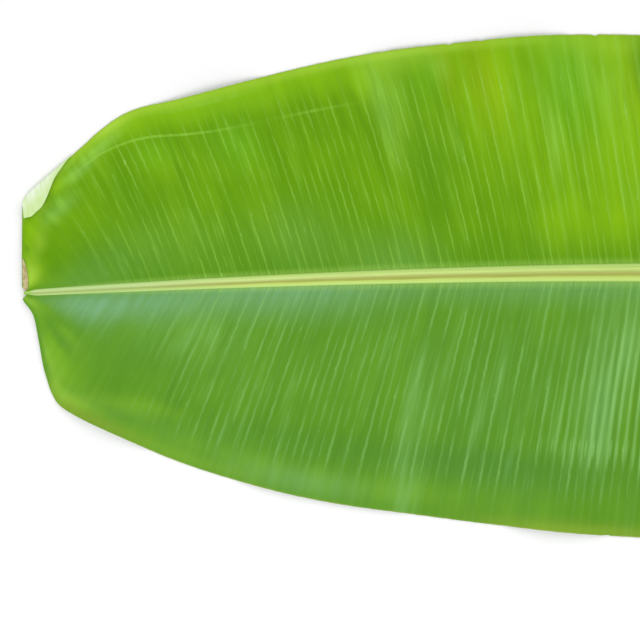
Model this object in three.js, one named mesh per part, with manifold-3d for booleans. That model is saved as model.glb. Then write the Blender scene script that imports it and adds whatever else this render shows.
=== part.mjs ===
// A banana leaf, cut with a short length of its stalk and laid face up on a table.
// Millimetres, +Z up. The tip points along -X and the cut stalk along +X. The far half lies
// towards +Y and the near half towards -Y. The leaf grew as one piece, so it is one solid:
// two half blades rooted in the flanks of a grooved midrib that runs on into the stalk.
import * as THREE from "three";
import { mergeVertices } from "three/addons/utils/BufferGeometryUtils.js";
import Module from "manifold-3d";

// Lengths along the leaf, measured from the tip
const bladeLength = 1060;
const stalkLength = 110;
const leafLength = bladeLength + stalkLength;

// The midrib swings aside towards the tip and is straight from mid length to the cut
const tipSwing = 17.4;
const swingPower = 1.8;
const straightFrom = 530;

// Midrib and stalk: half width and depth at the tip, at the foot of the blade and at the cut
const ribHalfWidth = { tip: 2.3, foot: 11.2, cut: 13 };
const ribDepth = { tip: 2.6, foot: 18.5, cut: 21 };
const ribWidthPower = 0.75;
const ribDepthPower = 0.9;
const grooveShare = { tip: 0.22, foot: 0.34, cut: 0.45 };
const grooveOffset = -0.12; // the groove's floor lies towards the near rim, in half widths
const ribLiftAtTip = 0.8; // the thin end curls this far off the table
const ribFlatFrom = 330; // from here to the cut the keel lies flat on the table
const ribStart = 1.5;
const ribStations = 38;
const ribCrowding = 1.15; // power that sets the stations closer together at the tip

// The blade: thickness, raised side veins on each half, and rows from midrib to margin
const bladeThickness = 0.8;
const sideVeins = 80;
const veinRelief = 0.5;
const veinFade = { atRib: 0.15, across: 0.8 }; // the ridges are highest half way out
const rowShares = [0, 0.2, 0.42, 0.66, 0.79, 1];
const firstVein = 0.004;
const firstRoot = 3.5; // no vein is rooted nearer to the tip than this
const rootShare = 0.62; // how far out in the midrib a half blade is rooted, in half widths
const rootDrop = { least: 0.75, perDepth: 0.11 }; // below the rim of the groove

// A vein leans towards the tip. bend is how much of its run along the leaf it has made half way
// out. slack and swing set how far its outer end lies along the margin, next to its root's place
// along the midrib, as shares of the margin's length. Over the tip third, push sets the outer
// ends further from the tip.
const veinLean = {
  far: { bend: 0.42, slack: -0.005, swing: 0.004, push: 0.016 },
  near: { bend: 0.55, slack: -0.028, swing: 0.004, push: 0 },
};
const pushFull = 0.11;
const pushEnd = 0.36;

// Each half's margin: distance from the tip, and from the stalk's straight line
const marginOf = {
  far: [
    [0, -tipSwing], [0, 22], [0, 45], [0.5, 58.5], [4, 65], [15, 75.5], [33, 91], [50, 106],
    [66, 120.5], [83, 132.5], [100, 139.5], [125, 144.6], [150, 150.5], [218, 169], [285, 183.5],
    [352, 192.3], [453, 200.5], [560, 199], [740, 187], [890, 161], [992, 117], [1045, 66],
    [1057, 14],
  ],
  near: [
    [0, tipSwing], [0.8, 23], [6, 30], [9.5, 36], [14.3, 59.5], [17.6, 78.5], [21, 91], [25, 102.5],
    [31, 111.5], [44, 120], [83, 138.5], [125, 157], [184, 176.3], [251, 192.3], [318, 202.3],
    [419, 215], [517, 223.3], [640, 225], [800, 210], [930, 175], [1017, 122], [1062, 66],
    [1064, 14],
  ],
};

// How the blade lies: it slopes from the midrib to the table, with a crease pressed in when the
// leaf was still rolled up, and slow waves that grow towards the margin. Between the waves it
// lies on the table.
const slopeReach = 125;
const creaseAt = 0.79;
const creaseHeight = 1.5;
const creaseWidth = 0.17;
const waves = {
  far: [
    { length: 232, height: 3.4, phase: 0.9 },
    { length: 141, height: 2.4, phase: 2.1 },
  ],
  near: [
    { length: 205, height: 3.7, phase: 3.8 },
    { length: 127, height: 2.1, phase: 0.4 },
  ],
};
const waveLift = 0.9; // raises the waves' middle over the table
const waveRise = 1.7; // power of the distance from the midrib

// The far corner of the tip is turned over on itself and shows the underside. It reaches from
// one share of the leaf's length to another, and is fully rolled where it is deeper than fullAt.
// turnedEdge is where its free edge lies over the blade at equal steps between them: distance
// from the tip, and from the stalk's straight line.
const turnedCorner = { from: 0.0533, to: 0.0912, radius: 1.8, angle: 3, thickness: 0.66, fullAt: 5 };
const turnedEdge = [
  [2.2, 45], [8, 46.6], [14.4, 51.6], [19.8, 58.8], [24, 69.5], [28.6, 80.5], [34, 88.4],
  [40.4, 95.9],
];
const turnedRoot = 3;
const turnedRows = 9;

const clamp01 = (x) => Math.min(1, Math.max(0, x));
const smooth = (x) => clamp01(x) ** 2 * (3 - 2 * clamp01(x));

// A value given at the tip, the foot of the blade and the cut, at a distance from the tip
function along(value, x, power) {
  if (x <= bladeLength) {
    return value.tip + (value.foot - value.tip) * (x / bladeLength) ** power;
  }
  return value.foot + (value.cut - value.foot) * smooth((x - bladeLength) / stalkLength);
}

const ribY = (x) => -tipSwing * Math.max(0, 1 - x / straightFrom) ** swingPower;
const halfWidthAt = (x) => along(ribHalfWidth, x, ribWidthPower);
const depthAt = (x) => along(ribDepth, x, ribDepthPower);
const keelAt = (x) => ribLiftAtTip * Math.max(0, 1 - x / ribFlatFrom) ** 2;
const rootHeightAt = (x) => keelAt(x) + depthAt(x) * (1 - rootDrop.perDepth) - rootDrop.least;

// A closed solid between two faces of one grid, both split into triangles alike.
// top and bottom hold columns of points, and every column has the same number of them.
function sheetGeometry(top, bottom) {
  const columns = top.length;
  const rows = top[0].length;
  const positions = [...top.flat(), ...bottom.flat()].flatMap((p) => [p.x, p.y, p.z]);
  const upper = (i, j) => i * rows + j;
  const lower = (i, j) => columns * rows + upper(i, j);
  const faces = [];
  const quad = (a, b, c, d) => faces.push(a, b, c, a, c, d);
  for (let i = 0; i < columns - 1; i++) {
    for (let j = 0; j < rows - 1; j++) {
      quad(upper(i, j), upper(i + 1, j), upper(i + 1, j + 1), upper(i, j + 1));
      faces.push(lower(i, j), lower(i + 1, j + 1), lower(i + 1, j));
      faces.push(lower(i, j), lower(i, j + 1), lower(i + 1, j + 1));
    }
    quad(upper(i + 1, 0), upper(i, 0), lower(i, 0), lower(i + 1, 0));
    quad(upper(i, rows - 1), upper(i + 1, rows - 1), lower(i + 1, rows - 1), lower(i, rows - 1));
  }
  for (let j = 0; j < rows - 1; j++) {
    const last = columns - 1;
    quad(upper(0, j), upper(0, j + 1), lower(0, j + 1), lower(0, j));
    quad(upper(last, j + 1), upper(last, j), lower(last, j), lower(last, j + 1));
  }
  const geometry = new THREE.BufferGeometry();
  geometry.setAttribute("position", new THREE.Float32BufferAttribute(positions, 3));
  return geometry.setIndex(faces);
}

// A closed solid through rings of points, with flat ends split as the section's outline asks
function loftGeometry(rings, sectionOf) {
  const sides = rings[0].length;
  const last = rings.length - 1;
  const positions = rings.flat().flatMap((p) => [p.x, p.y, p.z]);
  const at = (i, j) => i * sides + (j % sides);
  const faces = [];
  for (let i = 0; i < last; i++) {
    for (let j = 0; j < sides; j++) {
      faces.push(at(i, j), at(i + 1, j + 1), at(i + 1, j));
      faces.push(at(i, j), at(i, j + 1), at(i + 1, j + 1));
    }
  }
  for (const i of [0, last]) {
    const outline = sectionOf(i).map(([across, up]) => new THREE.Vector2(across, up));
    for (const [a, b, c] of THREE.ShapeUtils.triangulateShape(outline, [])) {
      faces.push(...(i ? [at(i, a), at(i, b), at(i, c)] : [at(i, a), at(i, c), at(i, b)]));
    }
  }
  const geometry = new THREE.BufferGeometry();
  geometry.setAttribute("position", new THREE.Float32BufferAttribute(positions, 3));
  return geometry.setIndex(faces);
}

// Midrib and stalk: a keel with a flat underside, rounded flanks and a groove along the top.
// Each point is a share of the half width across and of the depth up.
function ribSection(x) {
  const groove = along(grooveShare, x, 1);
  const half = [
    [0.28, 0], [0.72, 0.12], [1.04, 0.45], [1.06, 0.8], [0.95, 0.97], [0.74, 1],
    [0.5, 1 - 0.45 * groove],
  ];
  const floor = [[grooveOffset + 0.14, 1 - groove], [grooveOffset - 0.14, 1 - groove]];
  const mirrored = half.map(([across, up]) => [-across, up]).reverse();
  return [...half, ...floor, ...mirrored];
}

function ribGeometry() {
  const rings = [];
  const stationAt = (i) => ribStart + (leafLength - ribStart) * (i / ribStations) ** ribCrowding;
  for (let i = 0; i <= ribStations; i++) {
    const x = stationAt(i);
    const slope = ribY(x + 0.5) - ribY(x - 0.5);
    const across = new THREE.Vector2(-slope, 1).normalize();
    rings.push(
      ribSection(x).map(([out, up]) => {
        const reach = out * halfWidthAt(x);
        return new THREE.Vector3(
          x + across.x * reach, ribY(x) + across.y * reach, keelAt(x) + up * depthAt(x),
        );
      }),
    );
  }
  return loftGeometry(rings, (i) => ribSection(stationAt(i)));
}

// One half of the blade, with side +1 for the far half and -1 for the near one.
// share runs from 0 at the tip to 1 at the foot, and out from 0 at the midrib to 1 at the margin.
function halfBlade(name, side) {
  const { bend, slack, swing, push } = veinLean[name];
  const margin = new THREE.CatmullRomCurve3(
    marginOf[name].map(([x, y]) => new THREE.Vector3(x, side * y, 0)),
  );
  margin.arcLengthDivisions = 2000;
  const marginLength = margin.getLength();

  const pushed = (share) =>
    push * smooth(share / pushFull) * smooth((pushEnd - share) / (pushEnd - pushFull));

  const marginShare = (share) =>
    share + slack * Math.sin(Math.PI * share) + swing * Math.sin(2 * Math.PI * share) + pushed(share);

  const rootOf = (share) => {
    const x = Math.max(firstRoot, share * bladeLength);
    return new THREE.Vector3(x, ribY(x) + side * rootShare * halfWidthAt(x), 0);
  };

  const plan = (share, out) => {
    const root = rootOf(share);
    const end = margin.getPointAt(clamp01(marginShare(share)));
    const knee = new THREE.Vector3(
      THREE.MathUtils.lerp(root.x, end.x, bend), (root.y + end.y) / 2, 0,
    );
    return new THREE.QuadraticBezierCurve3(root, knee, end).getPoint(out);
  };

  const height = (share, out, relief) => {
    const point = plan(share, out);
    const root = rootOf(share);
    const fromRib = point.distanceTo(root);
    const rooted = rootHeightAt(root.x);
    const along = marginShare(share) * marginLength;
    const lying = smooth(fromRib / slopeReach);
    const crease = creaseHeight * Math.max(0, 1 - Math.abs(out - creaseAt) / creaseWidth);
    const wave = waves[name].reduce(
      (sum, w) => sum + w.height * Math.sin((2 * Math.PI * along) / w.length + w.phase),
      waveLift,
    );
    const fade = Math.sin(Math.PI * (veinFade.atRib + veinFade.across * out));
    const ridge = relief * veinRelief * Math.sqrt(fade);
    const lift = crease + Math.max(0, wave) * out ** waveRise;
    return rooted + lying * (bladeThickness / 2 + lift - rooted) + ridge;
  };

  const point = (share, out, relief = 0) => {
    const p = plan(share, out);
    p.z = height(share, out, relief);
    return p;
  };

  const columns = 2 * sideVeins;
  const middle = [];
  for (let i = 0; i <= columns; i++) {
    const share = firstVein + (1 - firstVein) * (i / columns);
    const relief = i % 2 ? 1 : 0;
    middle.push(rowShares.map((out) => point(share, out, relief)));
  }
  const shifted = (by) => middle.map((column) => column.map((p) => p.clone().setZ(p.z + by)));
  const top = shifted(bladeThickness / 2);
  const bottom = shifted(-bladeThickness / 2);
  // On the near half the columns run the other way round, so that its faces point outwards too
  const geometry = side > 0 ? sheetGeometry(top, bottom) : sheetGeometry(top.reverse(), bottom.reverse());
  return { geometry, point };
}

// The turned-over corner: a strip that leaves the margin, rolls up and lies back over the blade
function turnedCornerGeometry(point) {
  const { from, to, radius, angle, thickness, fullAt } = turnedCorner;
  const up = new THREE.Vector3(0, 0, 1);
  const rollWidth = radius * (1 - Math.sin(angle));
  const top = [];
  const bottom = [];
  turnedEdge.forEach(([x, y], i) => {
    const foot = point(from + ((to - from) * i) / (turnedEdge.length - 1), 1);
    const outward = new THREE.Vector3(foot.x - x, foot.y - y, 0);
    const wide = outward.length();
    outward.normalize();
    const depth = radius * angle * smooth(wide / fullAt) + Math.max(0, wide - rollWidth);
    const upper = [];
    const lower = [];
    for (let j = 0; j <= turnedRows; j++) {
      const run = -turnedRoot + ((depth + turnedRoot) * j) / turnedRows;
      const turn = THREE.MathUtils.clamp(run / radius, 0, angle);
      const flat = run - turn * radius; // before the roll begins, or after it ends
      const reach = radius * Math.sin(turn) + flat * Math.cos(turn) - radius;
      const lift = radius * (1 - Math.cos(turn)) + flat * Math.sin(turn);
      const p = foot.clone().addScaledVector(outward, reach).addScaledVector(up, lift);
      const normal = up.clone().multiplyScalar(Math.cos(turn)).addScaledVector(outward, -Math.sin(turn));
      upper.push(p.clone().addScaledVector(normal, thickness / 2));
      lower.push(p.clone().addScaledVector(normal, -thickness / 2));
    }
    top.push(upper);
    bottom.push(lower);
  });
  return sheetGeometry(top, bottom);
}

const wasm = await Module();
wasm.setup();

function solidOf(geometry) {
  const bare = geometry.clone();
  bare.deleteAttribute("normal");
  bare.deleteAttribute("uv");
  const merged = mergeVertices(bare, 1e-4);
  return new wasm.Manifold(
    new wasm.Mesh({
      numProp: 3,
      vertProperties: new Float32Array(merged.attributes.position.array),
      triVerts: new Uint32Array(merged.index.array),
    }),
  );
}

function geometryOf(solid) {
  const { vertProperties, triVerts } = solid.getMesh();
  const geometry = new THREE.BufferGeometry();
  geometry.setAttribute("position", new THREE.BufferAttribute(vertProperties, 3));
  geometry.setIndex(new THREE.BufferAttribute(triVerts, 1));
  geometry.computeVertexNormals();
  return geometry;
}

const farHalf = halfBlade("far", 1);
const nearHalf = halfBlade("near", -1);
const pieces = [
  ribGeometry(),
  farHalf.geometry,
  nearHalf.geometry,
  turnedCornerGeometry(farHalf.point),
].map(solidOf);
const leaf = geometryOf(pieces.reduce((joined, piece) => joined.add(piece)));

const leafGreen = new THREE.MeshStandardMaterial({ color: 0x69a41c, roughness: 0.42, metalness: 0 });
const bananaLeaf = new THREE.Mesh(leaf, leafGreen);
bananaLeaf.name = "banana_leaf";

// The origin is on the table, under the middle of the leaf's box
leaf.computeBoundingBox();
const centre = leaf.boundingBox.getCenter(new THREE.Vector3());
bananaLeaf.position.set(-centre.x, -centre.y, -leaf.boundingBox.min.z);

const group = new THREE.Group();
group.add(bananaLeaf);

export default group;
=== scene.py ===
import math

import bpy
import numpy as np
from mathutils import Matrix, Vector


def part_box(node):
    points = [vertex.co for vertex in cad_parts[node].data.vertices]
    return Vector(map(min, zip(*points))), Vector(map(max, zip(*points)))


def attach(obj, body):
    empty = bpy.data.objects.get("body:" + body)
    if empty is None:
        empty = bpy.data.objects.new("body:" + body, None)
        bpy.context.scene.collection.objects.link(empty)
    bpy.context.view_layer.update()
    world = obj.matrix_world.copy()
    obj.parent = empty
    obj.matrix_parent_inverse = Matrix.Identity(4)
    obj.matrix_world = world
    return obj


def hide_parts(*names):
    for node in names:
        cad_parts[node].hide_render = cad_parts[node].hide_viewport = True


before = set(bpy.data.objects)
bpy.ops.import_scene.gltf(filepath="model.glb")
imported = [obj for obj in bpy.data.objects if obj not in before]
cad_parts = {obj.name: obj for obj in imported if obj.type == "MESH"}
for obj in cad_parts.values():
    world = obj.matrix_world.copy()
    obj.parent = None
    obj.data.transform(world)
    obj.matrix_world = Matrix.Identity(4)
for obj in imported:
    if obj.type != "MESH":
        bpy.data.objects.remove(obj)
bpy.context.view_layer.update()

leafLow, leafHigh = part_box("banana_leaf")
mm = 0.001

# The leaf's sizes as in the part's source: mm, places in mm from the tip, and shares
leafForm = {
    "bladeLength": 1060.0,
    "stalkLength": 110.0,
    "tipSwing": 17.4,
    "swingPower": 1.8,
    "straightFrom": 530.0,
    "bladeThickness": 0.8,
    "sideVeins": 80,
    "veinRelief": 0.5,
    "firstVein": 0.004,
    "firstRoot": 3.5,
    "rootShare": 0.62,
    "rootBelowTop": 0.11,  # of the rib's depth
    "rootInset": 0.75,
    "pushFull": 0.11,
    "pushEnd": 0.36,
    "slopeReach": 125.0,
    "creaseAt": 0.79,
    "creaseHeight": 1.5,
    "creaseWidth": 0.17,
    "driftEnd": 0.23,
    "driftReach": 0.11,
    "waveLift": 0.9,
    "waveRise": 1.7,
    "veinFade": (0.15, 0.8),  # where on half a sine the relief starts at the midrib, and how far it runs
    "crestHeight": 0.10,
    "crestReach": 0.05,  # of the way from vein to vein
    "slackWaves": (37, 61, 83, 29),
    "slackPower": 6,
}

ribForm = {
    "halfWidth": (2.3, 11.2, 13.0),  # at the tip, the foot of the blade and the cut
    "depth": (2.6, 18.5, 21.0),
    "widthPower": 0.75,
    "depthPower": 0.9,
    "groove": (0.22, 0.34, 0.45),
    "grooveOffset": -0.12,
    "grooveFloor": 0.14,
    "liftAtTip": 0.8,
    "flatFrom": 330.0,
    "start": 1.5,
    "end": 1170.0,
}

halves = {
    "far": {
        "side": 1,
        "lean": (0.42, -0.005, 0.004, 0.016),
        "waves": ((232, 3.4, 0.9), (141, 2.4, 2.1)),
        "creaseDrift": 0.10,
        "margin": [
            (0, -17.4), (0, 22), (0, 45), (0.5, 58.5), (4, 65), (15, 75.5), (33, 91), (50, 106),
            (66, 120.5), (83, 132.5), (100, 139.5), (125, 144.6), (150, 150.5), (218, 169),
            (285, 183.5), (352, 192.3), (453, 200.5), (560, 199), (740, 187), (890, 161),
            (992, 117), (1045, 66), (1057, 14),
        ],
    },
    "near": {
        "side": -1,
        "lean": (0.55, -0.028, 0.004, 0.0),
        "waves": ((205, 3.7, 3.8), (127, 2.1, 0.4)),
        "creaseDrift": 0.0,
        "margin": [
            (0, 17.4), (0.8, 23), (6, 30), (9.5, 36), (14.3, 59.5), (17.6, 78.5), (21, 91),
            (25, 102.5), (31, 111.5), (44, 120), (83, 138.5), (125, 157), (184, 176.3),
            (251, 192.3), (318, 202.3), (419, 215), (517, 223.3), (640, 225), (800, 210),
            (930, 175), (1017, 122), (1062, 66), (1064, 14),
        ],
    },
}


# Plain tools

def toLinear(hexColour):
    parts = [int(hexColour[i:i + 2], 16) / 255 for i in (1, 3, 5)]
    linear = [p / 12.92 if p <= 0.04045 else ((p + 0.055) / 1.055) ** 2.4 for p in parts]
    return (*linear, 1.0)


def setInput(tree, target, value):
    # value is a socket to link from, a colour in sRGB hex, or a plain value
    if isinstance(value, bpy.types.NodeSocket):
        tree.links.new(value, target)
    else:
        target.default_value = toLinear(value) if isinstance(value, str) else value


def addNode(tree, kind, settings=None, inputs=None):
    node = tree.nodes.new(kind)
    for key, value in (settings or {}).items():
        setattr(node, key, value)
    for key, value in (inputs or {}).items():
        setInput(tree, node.inputs[key], value)
    return node


def selectNothing():
    if bpy.context.mode != "OBJECT":
        bpy.ops.object.mode_set(mode="OBJECT")
    bpy.ops.object.select_all(action="DESELECT")


def pick(piece):
    selectNothing()
    bpy.context.view_layer.objects.active = piece
    piece.select_set(True)


def addGrid(name, columns, rows):
    selectNothing()
    bpy.ops.mesh.primitive_grid_add(x_subdivisions=columns, y_subdivisions=rows, size=1)
    piece = bpy.context.active_object
    piece.name = name
    piece.data.name = name
    return piece


def gridPlaces(piece):
    # Each point's place in the flat grid, 0 to 1 both ways
    count = len(piece.data.vertices)
    flat = np.empty(count * 3)
    piece.data.vertices.foreach_get("co", flat)
    flat = flat.reshape(count, 3)
    return flat[:, 0] + 0.5, flat[:, 1] + 0.5


def placePoints(piece, points):
    # points are in mm of the leaf, and go to metres of the frame
    metres = np.asarray(points) * mm + leafShift
    piece.data.vertices.foreach_set("co", metres.astype(np.float32).ravel())
    piece.data.update()


def setUv(piece, u, v):
    corners = np.empty(len(piece.data.loops), dtype=np.int32)
    piece.data.loops.foreach_get("vertex_index", corners)
    layer = piece.data.uv_layers.active or piece.data.uv_layers.new(name="alongTheVeins")
    layer.name = "alongTheVeins"
    layer.data.foreach_set("uv", np.stack([u[corners], v[corners]], 1).astype(np.float32).ravel())


def setTone(piece, name, values):
    layer = piece.data.attributes.new(name, "FLOAT", "POINT")
    layer.data.foreach_set("value", np.asarray(values, dtype=np.float32))


def applyModifier(piece, kind, settings):
    pick(piece)
    bpy.ops.object.modifier_add(type=kind)
    modifier = piece.modifiers[-1]
    for key, value in settings.items():
        setattr(modifier, key, value)
    bpy.ops.object.modifier_apply(modifier=modifier.name)


def mergePoints(piece, mergeAt):
    pick(piece)
    bpy.ops.object.mode_set(mode="EDIT")
    bpy.ops.mesh.select_all(action="SELECT")
    bpy.ops.mesh.remove_doubles(threshold=mergeAt)
    bpy.ops.mesh.normals_make_consistent(inside=False)
    bpy.ops.object.mode_set(mode="OBJECT")


def closeEnds(piece, back=0.0):
    # Fills each open outline. With back, the outline first goes that far back along the leaf.
    pick(piece)
    bpy.ops.object.mode_set(mode="EDIT")
    bpy.ops.mesh.select_mode(type="EDGE")
    bpy.ops.mesh.select_all(action="DESELECT")
    bpy.ops.mesh.select_non_manifold()
    if back:
        bpy.ops.mesh.extrude_region_move(TRANSFORM_OT_translate={"value": (-back, 0, 0)})
    bpy.ops.mesh.fill()
    bpy.ops.mesh.select_all(action="SELECT")
    bpy.ops.mesh.normals_make_consistent(inside=False)
    bpy.ops.object.mode_set(mode="OBJECT")


def shadeSmooth(piece, angle):
    pick(piece)
    bpy.ops.object.shade_smooth_by_angle(angle=math.radians(angle))


def dress(piece, *finishes):
    piece.data.materials.clear()
    for finish in finishes:
        piece.data.materials.append(finish)


def smooth(x):
    x = np.clip(x, 0, 1)
    return x * x * (3 - 2 * x)


def bump(x, centre, reach):
    # 1 at the centre, falling softly to 0 at the reach
    return smooth(1 - np.abs((x - centre) / reach))


# The leaf's formulas

def alongRib(value, x, power):
    inBlade = value[0] + (value[1] - value[0]) * np.clip(x / leafForm["bladeLength"], 0, 1) ** power
    past = smooth((x - leafForm["bladeLength"]) / leafForm["stalkLength"])
    return inBlade + (value[2] - value[1]) * past


def ribY(x):
    bent = np.maximum(0, 1 - x / leafForm["straightFrom"])
    return -leafForm["tipSwing"] * bent ** leafForm["swingPower"]


def ribHalfWidth(x):
    return alongRib(ribForm["halfWidth"], x, ribForm["widthPower"])


def ribDepth(x):
    return alongRib(ribForm["depth"], x, ribForm["depthPower"])


def keelZ(x):
    return ribForm["liftAtTip"] * np.maximum(0, 1 - x / ribForm["flatFrom"]) ** 2


def rootZ(x):
    return keelZ(x) + ribDepth(x) * (1 - leafForm["rootBelowTop"]) - leafForm["rootInset"]


def curveThrough(points, perSpan=60, closed=False):
    # A smooth curve through the points: cubic spans, each timed by the root of its chord
    p = np.asarray(points, float)
    if closed:
        q = np.vstack([p[-1:], p, p[:2]])
    else:
        q = np.vstack([2 * p[0] - p[1], p, 2 * p[-1] - p[-2]])
    spans = []
    t = np.linspace(0, 1, perSpan, endpoint=False)[:, None]
    for p0, p1, p2, p3 in zip(q[:-3], q[1:-2], q[2:-1], q[3:]):
        d0, d1, d2 = (math.sqrt(np.linalg.norm(b - a)) for a, b in ((p0, p1), (p1, p2), (p2, p3)))
        t1 = ((p1 - p0) / d0 - (p2 - p0) / (d0 + d1) + (p2 - p1) / d1) * d1
        t2 = ((p2 - p1) / d1 - (p3 - p1) / (d1 + d2) + (p3 - p2) / d2) * d1
        second = 3 * (p2 - p1) - 2 * t1 - t2
        third = 2 * (p1 - p2) + t1 + t2
        spans.append(p1 + t1 * t + second * t ** 2 + third * t ** 3)
    if not closed:
        spans.append(p[-1:])
    return np.vstack(spans)


def readyHalf(half):
    curve = curveThrough([(x, half["side"] * y) for x, y in half["margin"]])
    steps = np.linalg.norm(np.diff(curve, axis=0), axis=1)
    half["curve"] = curve
    half["run"] = np.concatenate([[0], np.cumsum(steps)])


def pushed(half, share):
    # Towards the tip the outer ends of the far half's veins stand further from it
    full, end = leafForm["pushFull"], leafForm["pushEnd"]
    return half["lean"][3] * smooth(share / full) * smooth((end - share) / (end - full))


def marginShare(half, share):
    slack, swing = half["lean"][1:3]
    return share + slack * np.sin(np.pi * share) + swing * np.sin(2 * np.pi * share) + pushed(half, share)


def unpushed(half, share, out):
    # The share that the same place would have if no vein's outer end were pushed from the tip
    bend = half["lean"][0]
    return share + pushed(half, share) * (2 * out * (1 - out) * bend + out ** 2)


def creaseOut(half, share):
    # The crease runs nearer the margin at the tip
    drift = np.clip((leafForm["driftEnd"] - share) / leafForm["driftReach"], 0, 1) ** 2
    return leafForm["creaseAt"] + half["creaseDrift"] * drift


def bladePlan(half, share, out):
    # From above: share runs along the leaf, out from the midrib to the margin
    bend = half["lean"][0]
    rootX = np.maximum(leafForm["firstRoot"], share * leafForm["bladeLength"])
    rootY = ribY(rootX) + half["side"] * leafForm["rootShare"] * ribHalfWidth(rootX)
    arc = np.clip(marginShare(half, share), 0, 1) * half["run"][-1]
    endX = np.interp(arc, half["run"], half["curve"][:, 0])
    endY = np.interp(arc, half["run"], half["curve"][:, 1])
    kneeX = rootX + bend * (endX - rootX)
    kneeY = (rootY + endY) / 2
    x = (1 - out) ** 2 * rootX + 2 * out * (1 - out) * kneeX + out ** 2 * endX
    y = (1 - out) ** 2 * rootY + 2 * out * (1 - out) * kneeY + out ** 2 * endY
    return x, y, rootX, rootY, arc


def bladePoints(half, share, out, vein):
    # vein counts the side veins from the tip; a ridge stands half way between two whole numbers
    x, y, rootX, rootY, arc = bladePlan(half, share, out)
    fromRib = np.hypot(x - rootX, y - rootY)
    lying = smooth(fromRib / leafForm["slopeReach"])
    creasePlace = creaseOut(half, unpushed(half, share, out))
    crease = leafForm["creaseHeight"] * bump(out, creasePlace, leafForm["creaseWidth"])
    wave = leafForm["waveLift"] + sum(
        height * np.sin(2 * np.pi * arc / length + phase) for length, height, phase in half["waves"]
    )
    lift = crease + np.maximum(0, wave) * out ** leafForm["waveRise"]
    fadeFrom, fadeRun = leafForm["veinFade"]
    fade = np.sqrt(np.sin(np.pi * (fadeFrom + fadeRun * out)))
    ridge = 0.5 - 0.5 * np.cos(2 * np.pi * vein)
    uneven = half["veinHeights"][np.clip(vein.astype(int), 0, leafForm["sideVeins"] - 1)]
    crest = leafForm["crestHeight"] * np.maximum(0, 1 - np.abs(vein % 1 - 0.5) / leafForm["crestReach"])
    relief = leafForm["veinRelief"] * fade * ridge * uneven + crest * fade
    # Slack in the blade between midrib and margin, never below the table
    first, second, third, fourth = leafForm["slackWaves"]
    swell = np.sin(x / first + y / second + half["side"]) * np.sin(x / third - y / fourth)
    slack = half["slack"] * lying * (1 + swell) / 2
    held = slack * (1 - out ** leafForm["slackPower"])
    rooted = rootZ(rootX)
    z = rooted + lying * (leafForm["bladeThickness"] / 2 + lift - rooted) + relief + held
    return np.stack([x, y, z], 1)


for half in halves.values():
    readyHalf(half)

# The leaf's own zero is the tip's edge on the line of the stalk. The cut is at the box's +X end.
farReach = halves["far"]["curve"][:, 1].max() * mm
nearReach = -halves["near"]["curve"][:, 1].min() * mm
leafShift = np.array([
    leafHigh[0] - ribForm["end"] * mm,
    (leafHigh[1] - farReach + leafLow[1] + nearReach) / 2,
    0.0,
])
print("leaf placed at", [round(float(v), 5) for v in leafShift])


# Finishes

def startFinish(name):
    finish = bpy.data.materials.new(name)
    finish.use_nodes = True
    tree = finish.node_tree
    tree.nodes.clear()
    shader = addNode(tree, "ShaderNodeBsdfPrincipled")
    addNode(tree, "ShaderNodeOutputMaterial", inputs={"Surface": shader.outputs[0]})
    return finish, tree, shader


def setSurface(tree, shader, colour, roughness, indexOfRefraction=None):
    setInput(tree, shader.inputs["Base Color"], colour)
    setInput(tree, shader.inputs["Roughness"], roughness)
    if indexOfRefraction:
        shader.inputs["IOR"].default_value = indexOfRefraction


def setRelief(tree, shader, height, strength, distance):
    relief = addNode(tree, "ShaderNodeBump", inputs={
        "Strength": strength, "Distance": distance, "Height": height,
    })
    tree.links.new(relief.outputs[0], shader.inputs["Normal"])


def tinted(tree, below, above, share):
    # Lays one colour over another by a share
    mix = addNode(tree, "ShaderNodeMix", {"data_type": "RGBA"})
    for name, value in (("Factor", share), ("A", below), ("B", above)):
        setInput(tree, next(s for s in mix.inputs if s.name == name and s.enabled), value)
    return next(s for s in mix.outputs if s.enabled)


def maths(tree, operation, a, b=0.0):
    return addNode(tree, "ShaderNodeMath", {"operation": operation}, {0: a, 1: b}).outputs[0]


def times(tree, a, b):
    return maths(tree, "MULTIPLY", a, b)


def ranged(tree, value, low, high, toLow=0.0, toHigh=1.0):
    # A soft step: as value goes from low to high, the result goes from toLow to toHigh
    return addNode(tree, "ShaderNodeMapRange", {"interpolation_type": "SMOOTHSTEP"}, {
        "Value": value, "From Min": low, "From Max": high, "To Min": toLow, "To Max": toHigh,
    }).outputs[0]


def stretchedNoise(tree, u, v, perU, perV, detail=2.0, seed=0.0):
    # Noise drawn out along the veins: perU cells for each step of u, perV cells from rib to margin
    place = addNode(tree, "ShaderNodeCombineXYZ", inputs={
        0: times(tree, u, perU), 1: times(tree, v, perV), 2: seed,
    })
    noise = addNode(tree, "ShaderNodeTexNoise", inputs={
        "Vector": place.outputs[0], "Scale": 1.0, "Detail": detail, "Roughness": 0.55,
    })
    return noise.outputs[0]


def evenNoise(tree, perMetre, detail):
    place = addNode(tree, "ShaderNodeTexCoord").outputs["Object"]
    noise = addNode(tree, "ShaderNodeTexNoise", inputs={
        "Vector": place, "Scale": perMetre, "Detail": detail,
    })
    return noise.outputs[0]


def toneOf(tree, name):
    return addNode(tree, "ShaderNodeAttribute", {"attribute_name": name}).outputs["Fac"]


def uvOf(tree):
    uv = addNode(tree, "ShaderNodeUVMap", {"uv_map": "alongTheVeins"})
    parts = addNode(tree, "ShaderNodeSeparateXYZ", inputs={0: uv.outputs[0]})
    return parts.outputs[0], parts.outputs[1]


plantIor = 1.45  # of plant wax and wet tissue
reliefDepth = 0.0005

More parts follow.
